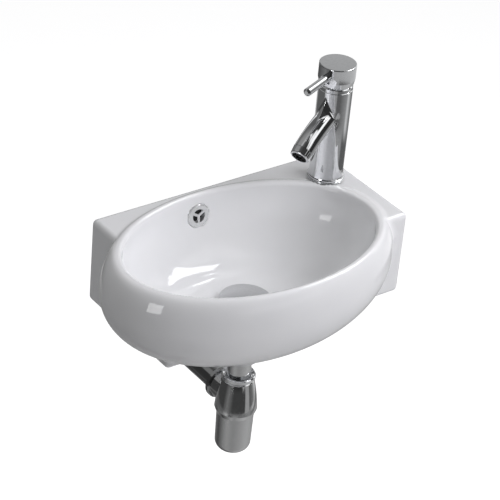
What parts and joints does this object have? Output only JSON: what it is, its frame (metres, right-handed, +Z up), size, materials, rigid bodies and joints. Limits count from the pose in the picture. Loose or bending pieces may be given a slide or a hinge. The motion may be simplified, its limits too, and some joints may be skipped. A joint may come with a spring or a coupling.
{
  "type": "wall-hung washbasin with single-lever tap and bottle trap",
  "caption": "Wall-hung ceramic cloakroom basin: oval bowl on a rectangular wall block, corner single-lever tap, press-open waste and chrome bottle trap.",
  "frame": {"origin": "midway between the two wall-fixing holes, on the wall plane", "axes": "+X to the right seen from the front, +Y into the wall, +Z up"},
  "size_m": [0.429, 0.304, 0.5033],
  "materials": {
    "ceramic": "glossy white glaze",
    "chrome": "polished",
    "brass": "turned",
    "steel": "turned",
    "rubber": "matte",
    "white_plastic": "matte",
    "dark_plastic": "matte"
  },
  "bodies": {
    "basin_set": {"basin": "ceramic", "overflow_ring": "chrome", "waste_body": "chrome", "inlet_nut": "chrome", "inlet_tube": "chrome", "trap_top_nut": "chrome", "trap_body": "chrome", "outlet_nut": "chrome", "outlet_pipe": "chrome", "wall_rosette": "chrome", "tap_body": "chrome", "tap_base_ring": "chrome", "aerator_housing": "chrome", "dome_ring": "chrome", "waste_back_nut": "brass", "cartridge_nut": "brass", "tap_stud": "brass", "stud_nut": "brass", "stud_washer": "steel", "waste_top_seal": "rubber", "waste_bottom_seal": "rubber", "inlet_washer": "rubber", "trap_top_seal": "rubber", "outlet_seal": "rubber", "tap_base_seal": "rubber", "stud_gasket": "rubber", "click_cartridge": "white_plastic", "dip_tube": "white_plastic", "cartridge_housing": "white_plastic", "aerator_insert": "dark_plastic"},
    "plug": {"drain_plug": "chrome", "plug_stem": "steel", "plug_seal": "rubber"},
    "tap_turn": {"cartridge_carrier": "dark_plastic"},
    "handle": {"cartridge_stem": "steel", "handle_cap": "chrome", "handle_lever": "chrome", "grub_screw": "steel"},
    "trap_drop": {"cup_seal": "rubber"},
    "cup": {"trap_cup": "chrome"}
  },
  "joints": [
    {"name": "plug_press", "type": "slide", "parent": "basin_set", "child": "plug", "axis": [0, 0, 1], "range_m": [-0.0055, 0], "stiffness_N_per_m": 600, "springref_m": 0.006},
    {"name": "handle_turn", "type": "hinge", "parent": "basin_set", "child": "tap_turn", "pos_m": [0.1465, -0.0575, 0.1722], "axis": [0, 0, 1], "range_deg": [-45, 45]},
    {"name": "handle_lift", "type": "hinge", "parent": "tap_turn", "child": "handle", "pos_m": [0.1465, -0.0575, 0.1722], "axis": [-0.383, 0.9237, 0], "range_deg": [0, 20]},
    {"name": "cup_drop", "type": "slide", "parent": "basin_set", "child": "trap_drop", "axis": [0, 0, 1], "range_m": [-0.012, 0]},
    {"name": "cup_unscrew", "type": "hinge", "parent": "trap_drop", "child": "cup", "pos_m": [-0.033, -0.1375, -0.24], "axis": [0, 0, 1], "range_deg": [-1440, 0]}
  ],
  "couplings": [
    {"joint": "cup_drop", "follows": "cup_unscrew", "m_per_rad": 0.00047699}
  ]
}
